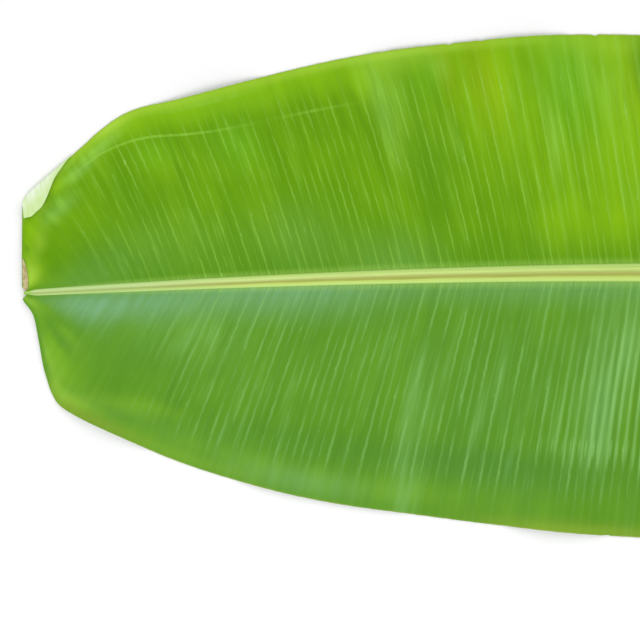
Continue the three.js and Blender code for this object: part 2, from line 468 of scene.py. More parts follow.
# Fresh leaf skin under a thin natural wax: saturated green, satin, with light catching the veins. The near
# half's copy is darker and cooler than the far half's, partly its own colour and partly painted shade and
# sky reflection.
leafSkin = {
    "both": {
        "shade": "#264f04", "speck": "#a9d67c", "atRib": "#a3cc5c", "edge": "#9aa646",
        "clouds": (16.0, 3.0),  # cells in a metre, and detail
        # The rest are cells from vein to vein, cells from rib to margin, detail and seed
        "broad": (0.6, 1.2, 2.0, 3.0), "streak": (1.9, 2.2, 3.0, 8.0), "fine": (9.0, 5.0, 2.0, 5.0),
        "waver": (1.0, 34.0, 2.0, 15.0), "ownVein": (3.7, 4.5, 2.0, 12.0), "between": (5.3, 3.0, 2.0, 4.0),
        "teeth": (5.0, 1.5, 1.0, 17.0), "specks": (2.6, 11.0, 2.0, 21.0),
        "cloudShare": 0.08, "waverReach": 0.022, "pleatCrown": 0.56, "relief": 0.28,
    },
    # In each half, the bluish sheen colour is a painted reflection of the window light, and the deep and
    # pale colours also paint shade and glints
    "far": {"deepGreenAndShade": "#528a12", "full": "#5f9500", "bright": "#84b808", "paintedSheen": "#7fb45c",
            "pale": "#8cc440", "rim": "#a4cf3c", "warm": "#8eac04", "cool": "#68b01a", "vein": "#96c84c",
            "veinShare": 0.42, "veinWidth": (0.075, 0.015), "pleatsPerVein": 1.0,
            "roughness": 0.46, "specular": 0.10, "wander": 0.15},
    "near": {"deepGreenAndShade": "#4d8624", "full": "#578f16", "bright": "#76ad1c", "paintedSheen": "#78ac7c",
             "pale": "#80b860", "rim": "#8fbe34", "warm": "#889f2c", "cool": "#5aa236", "vein": "#86bd64",
             "veinShare": 0.41, "veinWidth": (0.11, 0.025), "pleatsPerVein": 2.0,
             "roughness": 0.42, "specular": 0.20, "wander": 0.12},
}
bladeTones = (
    "bright", "deepGreenAndShade", "paintedSheen", "pale", "rim", "warm", "cool", "comb", "pleatLight", "lines", "fold", "folded",
)


def leafSkinFinish(name):
    look = {**leafSkin["both"], **leafSkin[name]}
    finish, tree, shader = startFinish("fresh waxy leaf skin " + name)
    u, out = uvOf(tree)
    vein = times(tree, u, float(leafForm["sideVeins"]))
    tones = {tone: toneOf(tree, tone) for tone in bladeTones}

    # Soft clouds 60 mm across, and streaks that follow the veins, one to a few mm wide
    clouds = evenNoise(tree, *look["clouds"])
    broad = stretchedNoise(tree, vein, out, *look["broad"])
    streak = stretchedNoise(tree, vein, out, *look["streak"])
    fine = stretchedNoise(tree, vein, out, *look["fine"])

    wander, cloudShare = look["wander"], look["cloudShare"]
    share = maths(tree, "ADD", tones["bright"], ranged(tree, broad, 0.3, 0.7, -wander, wander))
    share = maths(tree, "ADD", share, ranged(tree, clouds, 0.3, 0.7, -cloudShare, cloudShare))
    colour = tinted(tree, look["full"], look["bright"], ranged(tree, share, 0.0, 1.0))
    for tone in ("rim", "warm", "cool"):
        colour = tinted(tree, colour, look[tone], tones[tone])
    # These three are broken up by the streaks: from low to high they rise from weakest to full. The deep
    # green also stands in for shade, the bluish sheen is a painted reflection of the window light, and the
    # pale tone also paints glints.
    for tone, low, high, weakest in (
        ("deepGreenAndShade", 0.3, 0.65, 0.75), ("paintedSheen", 0.35, 0.7, 0.7), ("pale", 0.38, 0.62, 0.35),
    ):
        part = times(tree, tones[tone], ranged(tree, streak, low, high, weakest, 1.0))
        colour = tinted(tree, colour, look[tone], part)

    # Painted light and shade on the pleats: the crown of each pleat between two veins is painted lighter
    # than its foot, and the foot darker
    fromCrown = maths(tree, "SUBTRACT", vein, look["pleatCrown"])
    crown = maths(tree, "COSINE", times(tree, fromCrown, 2 * math.pi * look["pleatsPerVein"]))
    crown = times(tree, crown, tones["pleatLight"])
    crownHighlight = ranged(tree, crown, 0.0, 0.6, 0.0, 0.75)
    crownHighlight = times(tree, crownHighlight, ranged(tree, streak, 0.3, 0.6, 0.5, 1.0))
    colour = tinted(tree, colour, look["pale"], crownHighlight)
    colour = tinted(tree, colour, look["deepGreenAndShade"], ranged(tree, crown, -0.1, -0.9, 0.0, 0.5))

    # Fine streaks, lighter and darker, weaker at the tip and by the margin
    streaky = ranged(tree, tones["lines"], 0.0, 1.0, 0.3, 1.0)
    for noise, low, high, strength, shade in (
        (streak, 0.52, 0.8, 0.35, "pale"), (streak, 0.5, 0.22, 0.14, "shade"),
        (fine, 0.48, 0.25, 0.10, "shade"),
    ):
        part = times(tree, ranged(tree, noise, low, high, 0.0, strength), streaky)
        colour = tinted(tree, colour, look[shade], part)

    # Side veins: pale lines over a millimetre wide that waver, stronger on some and broken along
    # their run, with a fainter one between two of them here and there
    reach = look["waverReach"]
    waver = ranged(tree, stretchedNoise(tree, vein, out, *look["waver"]), 0.3, 0.7, -reach, reach)
    wavering = maths(tree, "ADD", vein, waver)
    fromCrest = maths(tree, "ABSOLUTE", maths(tree, "SUBTRACT", maths(tree, "FRACT", wavering), 0.5))
    number = maths(tree, "FLOOR", wavering)
    own = ranged(tree, stretchedNoise(tree, number, out, *look["ownVein"]), 0.36, 0.64, 0.12, 1.0)
    line = times(tree, ranged(tree, fromCrest, *look["veinWidth"]), own)
    between = ranged(tree, stretchedNoise(tree, number, out, *look["between"]), 0.42, 0.64, 0.0, 0.7)
    line = maths(tree, "MAXIMUM", line, times(tree, ranged(tree, fromCrest, 0.405, 0.46), between))
    line = times(tree, line, tones["lines"])
    colour = tinted(tree, colour, look["vein"], times(tree, line, look["veinShare"]))

    # A thin pale line where the blade was creased while it was rolled up
    fromFold = maths(tree, "ABSOLUTE", maths(tree, "SUBTRACT", tones["fold"], 0.5))
    foldLine = times(tree, ranged(tree, fromFold, 0.05, 0.015), tones["folded"])
    foldLine = times(tree, foldLine, ranged(tree, streak, 0.35, 0.6, 0.6, 1.0))
    colour = tinted(tree, colour, look["pale"], foldLine)

    # A comb of short fine pale lines, painted as reflections on the pleats, and light specks on the vein
    # crests
    teeth = ranged(tree, stretchedNoise(tree, vein, out, *look["teeth"]), 0.47, 0.6)
    colour = tinted(tree, colour, look["pale"], times(tree, teeth, tones["comb"]))
    speck = ranged(tree, stretchedNoise(tree, vein, out, *look["specks"]), 0.65, 0.78, 0.0, 0.4)
    speck = times(tree, speck, ranged(tree, fromCrest, 0.16, 0.03))
    colour = tinted(tree, colour, look["speck"], times(tree, speck, tones["lines"]))

    # By the midrib the skin is paler, and the margin is a thin dry line
    atRib = times(tree, ranged(tree, out, 0.05, 0.015), ranged(tree, fine, 0.3, 0.7, 0.15, 0.4))
    colour = tinted(tree, colour, look["atRib"], atRib)
    edge = times(tree, ranged(tree, out, 0.991, 0.997), ranged(tree, clouds, 0.35, 0.65, 0.2, 0.7))
    colour = tinted(tree, colour, look["edge"], edge)

    # The finest parallel veins stand a millimetre apart
    alongVeins = addNode(tree, "ShaderNodeCombineXYZ", inputs={
        0: times(tree, vein, 0.62), 1: times(tree, out, 2.0),
    })
    ribs = addNode(tree, "ShaderNodeTexWave", {"wave_type": "BANDS", "bands_direction": "X"}, {
        "Vector": alongVeins.outputs[0], "Scale": 6.0, "Distortion": 1.6, "Detail": 2.0,
    }).outputs[1]
    setRelief(tree, shader, maths(tree, "ADD", times(tree, ribs, 0.35), fine), look["relief"], reliefDepth)
    grain = maths(tree, "ADD", streak, fine)
    roughness = ranged(tree, grain, 0.7, 1.3, look["roughness"] + 0.09, look["roughness"] - 0.06)
    setSurface(tree, shader, colour, roughness, plantIor)
    shader.inputs["Specular IOR Level"].default_value = look["specular"]
    return finish


# The underside of the blade: bloom of pale wax, matt, with the veins standing out
def undersideFinish():
    finish, tree, shader = startFinish("waxy bloomed leaf underside")
    u, out = uvOf(tree)
    vein = times(tree, u, float(leafForm["sideVeins"]))
    wax = evenNoise(tree, 22.0, 4.0)
    streak = stretchedNoise(tree, vein, out, 1.7, 2.4, 3.0, 2.0)
    fine = stretchedNoise(tree, vein, out, 9.0, 4.0, 2.0, 6.0)
    colour = tinted(tree, "#7fa65a", "#a3bd8b", ranged(tree, wax, 0.3, 0.7))
    colour = tinted(tree, colour, "#6c9646", ranged(tree, streak, 0.55, 0.25, 0.0, 0.5))
    fromCrest = maths(tree, "ABSOLUTE", maths(tree, "SUBTRACT", maths(tree, "FRACT", vein), 0.5))
    colour = tinted(tree, colour, "#bcd08e", ranged(tree, fromCrest, 0.07, 0.02, 0.0, 0.6))
    colour = tinted(tree, colour, "#5f8a3c", ranged(tree, fine, 0.45, 0.25, 0.0, 0.25))
    setRelief(tree, shader, fine, 0.3, reliefDepth)
    setSurface(tree, shader, colour, 0.62, plantIor)
    return finish


# The blade's edge dries first: thin, yellow-brown, in short runs of darker brown
def marginFinish():
    finish, tree, shader = startFinish("dry leaf margin")
    colour = tinted(tree, "#8fa646", "#8b8246", ranged(tree, evenNoise(tree, 60.0, 3.0), 0.45, 0.7))
    setSurface(tree, shader, colour, 0.6, plantIor)
    return finish


# Midrib and stalk: smooth firm rind, pale at the rims of the groove and olive on its floor; the floor's
# darkest olive is partly painted shade in the groove
rindShades = (
    (0.0, "#b4d46c"), (0.08, "#c8e274"), (0.14, "#cde678"), (0.20, "#c1d36a"), (0.27, "#abb752"),
    (0.37, "#a1a648"), (0.50, "#a6ae50"), (0.62, "#aec062"), (0.74, "#c0d677"), (0.82, "#c4db7a"),
    (0.90, "#b8d270"), (1.0, "#a3c660"),
)


def rindFinish():
    finish, tree, shader = startFinish("smooth leaf stalk rind")
    across, upward, length = (toneOf(tree, tone) for tone in ("across", "upward", "length"))
    lengthwise = addNode(tree, "ShaderNodeCombineXYZ", inputs={
        0: times(tree, across, 7.0), 1: times(tree, length, 26.0), 2: times(tree, upward, 3.0),
    }).outputs[0]
    fibre = addNode(tree, "ShaderNodeTexNoise", inputs={
        "Vector": lengthwise, "Scale": 1.0, "Detail": 3.0,
    }).outputs[0]
    wobble = maths(tree, "ADD", across, ranged(tree, fibre, 0.3, 0.7, -0.06, 0.06))
    top = addNode(tree, "ShaderNodeValToRGB", inputs={"Fac": ranged(tree, wobble, -1.0, 1.0)})
    ramp = top.color_ramp
    for end, (position, shade) in zip(ramp.elements, (rindShades[0], rindShades[-1])):
        end.position = position
        end.color = toLinear(shade)
    for position, shade in rindShades[1:-1]:
        ramp.elements.new(position).color = toLinear(shade)
    keel = tinted(tree, "#a9c873", "#c3d98f", ranged(tree, fibre, 0.35, 0.65))
    colour = tinted(tree, keel, top.outputs[0], ranged(tree, upward, 0.45, 0.6))
    # Duller towards the tip, bright green at its very end, and greener down the stalk
    colour = tinted(tree, colour, "#a5c37c", ranged(tree, length, 0.19, 0.04, 0.0, 0.6))
    colour = tinted(tree, colour, "#98c440", ranged(tree, length, 0.009, 0.004, 0.0, 0.8))
    colour = tinted(tree, colour, "#93b654", times(tree, ranged(tree, length, 0.86, 0.99), 0.6))
    flecks = ranged(tree, fibre, 0.60, 0.74, 0.0, 0.22)
    flecks = times(tree, flecks, ranged(tree, length, 0.0, 0.6, 0.3, 1.0))
    colour = tinted(tree, colour, "#9d8d45", flecks)
    setRelief(tree, shader, fibre, 0.2, 0.0006)
    setSurface(tree, shader, colour, 0.36, plantIor)
    return finish


# The cut: wet spongy tissue, cream, browning at the rind
def cutFinish():
    finish, tree, shader = startFinish("cut stalk pith")
    colour = tinted(tree, "#dde2ae", "#c8cf90", ranged(tree, evenNoise(tree, 900.0, 3.0), 0.35, 0.65))
    # The air channels are painted darker, as shade in their hollows
    colour = tinted(tree, colour, "#8b8a4a", ranged(tree, toneOf(tree, "pit"), 0.2, 1.0))
    colour = tinted(tree, colour, "#7d6a38", ranged(tree, toneOf(tree, "rim"), 0.45, 1.0, 0.0, 0.8))
    setSurface(tree, shader, colour, 0.5, plantIor)
    return finish


# The turned corner shows the young underside: nearly white green, papery at its edge
def paleUndersideFinish():
    finish, tree, shader = startFinish("pale turned leaf corner")
    along, out = uvOf(tree)
    streak = stretchedNoise(tree, along, out, 14.0, 2.0, 3.0, 1.0)
    colour = tinted(tree, "#d3e8b3", "#e7f2da", ranged(tree, streak, 0.35, 0.65))
    # Darker in the roll, as painted shade, and towards the free edge the green shows through
    colour = tinted(tree, colour, "#b9cfa3", ranged(tree, out, 0.2, 0.02, 0.0, 0.7))
    colour = tinted(tree, colour, "#c3e08a", ranged(tree, out, 0.3, 0.85, 0.0, 0.7))
    setSurface(tree, shader, colour, 0.6, plantIor)
    return finish


# The dead thread at the very tip: thin dry tissue, pale dull brown
def dryTipFinish():
    finish, tree, shader = startFinish("dried leaf tip")
    colour = tinted(tree, "#bfb181", "#a2925f", ranged(tree, evenNoise(tree, 260.0, 4.0), 0.4, 0.65))
    setSurface(tree, shader, colour, 0.75)
    return finish


skins = {name: leafSkinFinish(name) for name in halves}
underside = undersideFinish()
dryMargin = marginFinish()
print("finishes ready")


# The two half blades

bladeLook = {
    "both": {
        "perVein": (0.0, 0.2, 0.37, 0.45, 0.482, 0.5, 0.518, 0.55, 0.63, 0.8),
        "rows": 44,
        "rowCrowding": 0.06,
        "veinHeights": (0.45, 1.0),
        "nickPlaces": (0.12, 0.95),
        "nickSizes": (0.002, 0.006),
        "nickReach": 0.0035,
        "marginRough": 0.0011,
        "roughPaces": (610, 173, 2),
        "marginInset": 0.0012,
        "marginFrom": 0.9,
        "smoothAngle": 50,
        "brightGrows": (0.2, 0.3, 0.15, 0.6),  # start and run along the leaf, then outwards
        "pleatBase": 0.07,
        "pleatMean": 0.72,
        "pleatSwing": 0.28,
        "pleatPaces": (523, 171, 4),
        "pleatSoft": (0.07, 0.3, 0.03),  # along the leaf, at the inner end and at the outer end
        "foldScale": 5,
        "linesRun": 0.09,
        "linesFade": (0.85, 0.78, 0.14),  # how much is lost, from where and over what run
        "linesByRib": (0.8, 0.2, 0.04, 0.2),  # what is there, what is added, from where, over what run
    },
    "far": {
        "slack": 0.7,
        "seed": 11,
        "nicks": 7,
        "brightBase": 0.19,
        "brightOut": 0.40,
        "linesFrom": 0.045,
        "pleatPatch": (0.40, 0.75, 0.10, 1.1, 0.22),
        "bright": (
            (0.20, 0.20, 0.95, 0.17, 0.62), (0.408, 0.014, 0.84, 0.25, 0.45), (0.045, 0.03, 0.85, 0.2, 0.5),
            (0.50, 0.10, 0.35, 0.5, 0.30), (0.75, 0.25, 0.6, 0.5, 0.4), (0.514, 0.014, 0.83, 0.2, -0.7),
            (0.457, 0.025, 0.75, 0.3, -0.25), (0.44, 0.09, 0.2, 0.25, 0.35), (0.16, 0.03, 0.68, 0.2, 0.2),
            (0.088, 0.02, 0.90, 0.08, 0.4), (0.313, 0.014, 0.86, 0.14, 0.4),
        ),
        "cool": (
            (0.458, 0.035, 0.80, 0.4, 0.55), (0.22, 0.12, 0.90, 0.08, 0.2), (0.355, 0.02, 0.85, 0.2, 0.35),
            (0.212, 0.03, 0.70, 0.2, 0.4), (0.155, 0.025, 0.74, 0.14, 0.3),
        ),
        "warm": (
            (0.398, 0.022, 0.85, 0.4, 0.5), (0.373, 0.012, 0.9, 0.3, 0.4), (0.515, 0.03, 0.8, 0.3, 0.35),
        ),
        "rim": (
            (0.175, 0.14, 0.985, 0.05, 0.6), (0.31, 0.10, 0.985, 0.04, 0.6), (0.08, 0.05, 0.98, 0.05, 0.5),
            (0.012, 0.026, 0.62, 0.5, 0.9), (0.40, 0.10, 0.985, 0.04, 0.5), (0.49, 0.08, 0.96, 0.09, 0.3),
            (0.080, 0.02, 0.92, 0.08, 0.2), (0.345, 0.04, 0.95, 0.09, 0.4), (0.139, 0.022, 0.97, 0.08, 0.5),
            (0.066, 0.012, 0.85, 0.08, 0.45), (0.045, 0.02, 0.70, 0.16, 0.35),
        ),
        # Darker green, partly the leaf's own and partly painted shade: along the midrib, where the blade
        # slopes away, and in a short crease by the tip
        "deepGreenAndShade": (
            (0.05, 0.12, 0.0, 0.30, 0.55), (0.20, 0.22, 0.0, 0.42, 0.9), (0.42, 0.2, 0.0, 0.22, 0.6),
            (0.345, 0.03, 0.6, 0.6, 0.45), (0.515, 0.012, 0.85, 0.25, 0.8), (0.14, 0.10, 0.50, 0.3, 0.25),
            (0.80, 0.30, 0.0, 0.30, 0.6), (0.033, 0.004, 0.88, 0.10, 0.7), (0.08, 0.06, 0.30, 0.35, 0.5),
            (0.075, 0.05, 0.14, 0.3, 0.55), (0.034, 0.02, 0.34, 0.2, 0.4),
        ),
        # Painted sheen: the window's bluish reflection by the midrib, in a band inside the far margin near
        # the tip, and along one vein
        "paintedSheen": (
            (0.323, 0.012, 0.72, 0.32, 0.3), (0.076, 0.022, 0.743, 0.08, 0.45),
            (0.105, 0.02, 0.888, 0.06, 0.45), (0.125, 0.02, 0.907, 0.05, 0.3),
            (0.30, 0.06, 0.03, 0.25, 0.3), (0.05, 0.06, 0.08, 0.3, 0.25), (0.12, 0.09, 0.22, 0.3, 0.15),
            (0.23, 0.06, 0.2, 0.3, 0.2),
        ),
        # Lighter streaks, partly the leaf's own and partly painted light: glints along single veins and a
        # sheen band inside the far margin near the tip
        "pale": (
            (0.205, 0.05, 0.947, 0.02, 0.6), (0.128, 0.025, 0.92, 0.045, 0.8),
            (0.112, 0.016, 0.93, 0.055, 0.7), (0.095, 0.015, 0.965, 0.04, 0.4),
            (0.098, 0.016, 0.88, 0.07, 0.6), (0.084, 0.015, 0.79, 0.09, 0.7),
            (0.068, 0.017, 0.72, 0.11, 0.6), (0.320, 0.009, 0.62, 0.28, 0.6),
            (0.325, 0.022, 0.84, 0.26, 0.6), (0.368, 0.012, 0.89, 0.12, 0.5),
            (0.367, 0.006, 0.60, 0.16, 0.5), (0.4387, 0.006, 0.58, 0.30, 0.8),
            (0.452, 0.012, 0.86, 0.2, 0.25), (0.49, 0.02, 0.75, 0.25, 0.4),
            (0.62, 0.05, 0.6, 0.4, 0.3), (0.470, 0.009, 0.87, 0.2, 0.45),
        ),
        "lines": ((0.320, 0.012, 0.5, 0.5, 0.5), (0.17, 0.05, 0.55, 0.4, 0.35)),
        "folded": (
            (0.165, 0.085, 0.8, 2.0, 0.75), (0.115, 0.03, 0.8, 2.0, 0.35), (0.275, 0.04, 0.8, 2.0, 0.4),
        ),
    },
    "near": {
        "slack": 0.8,
        "seed": 23,
        "nicks": 6,
        "brightBase": 0.15,
        "brightOut": 0.0,
        "linesFrom": 0.085,
        "pleatPatch": (0.455, 0.62, 0.05, 0.737, 0.75),
        "bright": (
            (0.060, 0.05, 0.80, 0.2, 0.6), (0.21, 0.15, 0.91, 0.10, 0.2), (0.34, 0.12, 0.91, 0.09, 0.25),
            (0.03, 0.04, 0.5, 0.5, 0.2), (0.8, 0.3, 0.6, 0.5, 0.4), (0.06, 0.025, 0.55, 0.1, 0.3),
            (0.150, 0.05, 0.76, 0.08, 0.35),
        ),
        "rim": (
            (0.084, 0.03, 0.94, 0.10, 0.6), (0.104, 0.035, 0.89, 0.09, 0.35),
            (0.128, 0.04, 0.81, 0.08, 0.22), (0.055, 0.03, 0.88, 0.08, 0.4), (0.47, 0.1, 0.985, 0.03, 0.3),
            (0.18, 0.10, 0.97, 0.06, 0.25), (0.008, 0.02, 0.6, 0.4, 0.6),
        ),
        "warm": ((0.11, 0.06, 0.97, 0.07, 0.5), (0.48, 0.13, 0.985, 0.06, 0.4)),
        "deepGreenAndShade": (
            # Darker green, partly the leaf's own and partly painted shade: a band just inside the crease
            # where the blade bends, and broad patches between it and the midrib
            (0.34, 0.27, 0.76, 0.12, 0.65), (0.12, 0.12, 0.48, 0.2, 0.2), (0.42, 0.22, 0.28, 0.25, 0.2),
            (0.39, 0.07, 0.6, 0.35, 0.45), (0.13, 0.05, 0.87, 0.05, 0.35), (0.43, 0.13, 0.80, 0.16, 0.4),
            (0.75, 0.3, 0.2, 0.3, 0.4), (0.06, 0.02, 0.62, 0.1, 0.4),
        ),
        # Painted sheen: the window's bluish reflection along the midrib, strongest near the tip, a little
        # by the margin and on the pleats at the right
        "paintedSheen": (
            (0.055, 0.05, 0.20, 0.28, 0.8), (0.10, 0.08, 0.12, 0.22, 0.6), (0.20, 0.14, 0.02, 0.24, 0.7),
            (0.27, 0.08, 0.93, 0.10, 0.25), (0.42, 0.30, 0.0, 0.16, 0.4), (0.476, 0.018, 0.52, 0.26, 0.28),
        ),
        # Lighter streaks, partly the leaf's own and partly painted light: a glinting band along the veins
        # in the middle and sheen by the midrib at the right
        "pale": (
            (0.341, 0.019, 0.60, 0.46, 0.32), (0.333, 0.006, 0.45, 0.32, 0.4),
            (0.346, 0.018, 0.94, 0.20, 0.4), (0.386, 0.006, 0.57, 0.25, 0.35),
            (0.397, 0.006, 0.40, 0.25, 0.35), (0.475, 0.015, 0.60, 0.16, 0.35),
            (0.70, 0.06, 0.5, 0.4, 0.35), (0.480, 0.045, 0.25, 0.35, 0.45),
            (0.473, 0.02, 0.38, 0.3, 0.3), (0.15, 0.08, 0.30, 0.25, 0.25),
        ),
        "lines": ((0.33, 0.1, 0.5, 0.4, 0.4), (0.13, 0.08, 0.8, 0.5, -0.4)),
        # comb: painted highlights, fine pale lines where the pleats at the right reflect the window
        "comb": ((0.47, 0.07, 0.665, 0.055, 0.75), (0.44, 0.05, 0.50, 0.12, 0.15)),
    },
}


def patch(x, low, high, soft):
    return smooth((x - low) / soft + 0.5) * smooth((high - x) / soft + 0.5)


def marked(marks, share, out):
    # Adds up soft oval marks: middle and reach along the leaf, middle and reach outwards, strength.
    # Places along the leaf are counted as if no vein's outer end were pushed.
    total = np.zeros_like(share)
    for place, reach, level, spread, strength in marks:
        total += strength * bump(share, place, reach) * bump(out, level, spread)
    return total


def tonesOf(name, share, out):
    look = {**bladeLook["both"], **bladeLook[name]}
    tones = {tone: marked(look.get(tone, ()), share, out) for tone in bladeTones}
    growFrom, growRun, growOut, growOutRun = look["brightGrows"]
    growing = smooth((share - growFrom) / growRun) * smooth((out - growOut) / growOutRun)
    tones["bright"] += look["brightBase"] + look["brightOut"] * growing
    # Where the pleats get painted highlight on their crowns and painted shade at their feet: a little
    # everywhere, more in one patch
    low, high, inner, outer, strength = look["pleatPatch"]
    softAlong, softInner, softOuter = look["pleatSoft"]
    quick, slow, across = look["pleatPaces"]
    ripple = np.sin(share * quick) * np.sin(share * slow + out * across)
    uneven = look["pleatMean"] + look["pleatSwing"] * ripple
    along = patch(share, low, high, softAlong)
    outwards = smooth((out - inner) / softInner) * patch(out, 0, outer, softOuter)
    tones["pleatLight"] += look["pleatBase"] + strength * uneven * along * outwards
    # fold is 0.5 on the crease, and folded is how plain its line is
    tones["fold"] += 0.5 + look["foldScale"] * (out - creaseOut(halves[name], share))
    # The pale vein lines are faint at the tip and die out before the margin
    lost, lostFrom, lostRun = look["linesFade"]
    least, added, ribEnd, ribRun = look["linesByRib"]
    lines = smooth((share - look["linesFrom"]) / look["linesRun"])
    lines = lines * (1 - lost * smooth((out - lostFrom) / lostRun))
    tones["lines"] += lines * (least + added * smooth((out - ribEnd) / ribRun))
    return tones


def makeBlade(name):
    half = halves[name]
    look = {**bladeLook["both"], **bladeLook[name]}
    rng = np.random.default_rng(look["seed"])
    veins = leafForm["sideVeins"]
    half["veinHeights"] = rng.uniform(*look["veinHeights"], veins)
    half["slack"] = look["slack"]
    perVein = look["perVein"]
    piece = addGrid("blade_" + name, veins * len(perVein), look["rows"])
    u, v = gridPlaces(piece)
    if half["side"] < 0:
        u = 1 - u  # so that the near half faces up too
    column = np.rint(u * veins * len(perVein)).astype(int)
    spots = np.array(perVein)
    vein = column // len(perVein) + spots[column % len(perVein)]
    share = leafForm["firstVein"] + (1 - leafForm["firstVein"]) * vein / veins
    # Rows stand closer at the midrib and the margin. Small nicks bite into the margin.
    out = v - look["rowCrowding"] * np.sin(2 * np.pi * v)
    nick = np.zeros_like(share)
    places = rng.uniform(*look["nickPlaces"], look["nicks"])
    sizes = rng.uniform(*look["nickSizes"], look["nicks"])
    for place, size in zip(places, sizes):
        nick += size * bump(share, place, look["nickReach"])
    quick, slow, phase = look["roughPaces"]
    rough = look["marginRough"] * (1 + np.sin(share * quick) * np.sin(share * slow + phase)) / 2
    inset = look["marginInset"] + nick + rough
    out = out * (1 - inset * smooth((out - look["marginFrom"]) / (1 - look["marginFrom"])))
    placePoints(piece, bladePoints(half, share, out, vein))
    setUv(piece, vein / veins, out)
    for tone, values in tonesOf(name, unpushed(half, share, out), out).items():
        setTone(piece, tone, np.clip(values, 0, 1))
    dress(piece, skins[name], underside, dryMargin)
    applyModifier(piece, "SOLIDIFY", {
        "thickness": leafForm["bladeThickness"] * mm, "offset": 0.0,
        "material_offset": 1, "material_offset_rim": 2,
    })
    shadeSmooth(piece, look["smoothAngle"])
    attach(piece, "root")
    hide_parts("banana_leaf")
    print(name, "half of the blade:", len(piece.data.polygons), "faces")
    return piece


bladeFar = makeBlade("far")
makeBlade("near")


# The far corner of the tip, turned over on itself

cornerLook = {
    "from": 0.0533,
    "to": 0.0912,
    "radius": 1.8,
    "angle": 3.0,
    "thickness": 0.66,
    "fullAt": 5.0,
    "edgeWaver": (0.03, 31),
    "bright": 0.4,
    "smoothAngle": 50,
    "perSpan": 40,
    "edge": (
        (2.2, 45), (8, 46.6), (14.4, 51.6), (19.8, 58.8), (24, 69.5), (28.6, 80.5), (34, 88.4),
        (40.4, 95.9),
    ),
    "root": 3.0,
    "strips": 64,
    "rows": 40,
}


def makeCorner():
    half = halves["far"]
    look = cornerLook
    piece = addGrid("turned_corner", look["strips"], look["rows"])
    u, v = gridPlaces(piece)
    share = look["from"] + (look["to"] - look["from"]) * u
    foot = bladePoints(half, share, np.ones_like(share), np.zeros_like(share))
    spans = len(look["edge"]) - 1
    edge = curveThrough(look["edge"], look["perSpan"])
    place = u * spans * look["perSpan"]
    outward = np.stack([
        foot[:, i] - np.interp(place, np.arange(len(edge)), edge[:, i]) for i in (0, 1)
    ], 1)
    wide = np.linalg.norm(outward, axis=1)
    outward = np.column_stack([outward / wide[:, None], np.zeros(len(u))])
    waver, pace = look["edgeWaver"]
    wide = wide * (1 - waver * (1 + np.sin(u * pace)) / 2)
    radius, angle = look["radius"], look["angle"]
    depth = radius * angle * smooth(wide / look["fullAt"])
    depth = depth + np.maximum(0, wide - radius * (1 - math.sin(angle)))
    run = -look["root"] + (depth + look["root"]) * v
    turn = np.clip(run / radius, 0, angle)
    flat = run - turn * radius
    reach = radius * np.sin(turn) + flat * np.cos(turn) - radius
    points = foot + reach[:, None] * outward
    points[:, 2] += radius * (1 - np.cos(turn)) + flat * np.sin(turn)
    placePoints(piece, points)
    setUv(piece, u, v)
    dress(piece, skins["far"], paleUndersideFinish(), dryMargin)
    for tone in bladeTones:
        setTone(piece, tone, np.full(len(u), look["bright"] if tone == "bright" else 0.0))
    applyModifier(piece, "SOLIDIFY", {
        "thickness": look["thickness"] * mm, "offset": 0.0,
        "material_offset": 1, "material_offset_rim": 1,
    })
    shadeSmooth(piece, look["smoothAngle"])
    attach(piece, "root")
    print("turned corner:", len(piece.data.polygons), "faces")


makeCorner()


# Midrib and stalk

ribLook = {
    "stations": 300,
    "perSide": 5,  # points between two of the section's corners
    "crowding": 1.15,
    "taper": 12.0,  # the tip's end narrows over this length
    "tipShare": 0.45,
    "endsBehindCut": 1.8,
    "widest": 1.058,  # of the half width
    "highest": 0.999,  # of the depth
    "shoulderFall": 0.45,
    "mergeAt": 0.00001,
    "smoothAngle": 40,
}


def ribSection(x):
    # The section's corners: share of the half width across, and of the depth up
    groove = alongRib(ribForm["groove"], x, 1.0)
    half = [
        (0.28, 0), (0.72, 0.12), (1.04, 0.45), (1.06, 0.8), (0.95, 0.97), (0.74, 1),
        (0.5, 1 - ribLook["shoulderFall"] * groove),
    ]
    middle, reach = ribForm["grooveOffset"], ribForm["grooveFloor"]
    floor = [(middle + reach, 1 - groove), (middle - reach, 1 - groove)]
    ring = half + floor + [(-a, b) for a, b in reversed(half)]
    return curveThrough(ring, ribLook["perSide"], closed=True)


def ribPlaces(x, section):
    slope = ribY(x + 0.5) - ribY(x - 0.5)
    across = np.array([-slope, 1.0]) / math.hypot(slope, 1.0)
    grown = smooth((x - ribForm["start"]) / ribLook["taper"])
    taper = ribLook["tipShare"] + (1 - ribLook["tipShare"]) * grown
    up = np.clip(section[:, 1], 0.0, ribLook["highest"])
    reach = np.clip(section[:, 0], -ribLook["widest"], ribLook["widest"]) * ribHalfWidth(x) * taper
    return np.stack([x + across[0] * reach, ribY(x) + across[1] * reach, keelZ(x) + up * ribDepth(x)], 1)


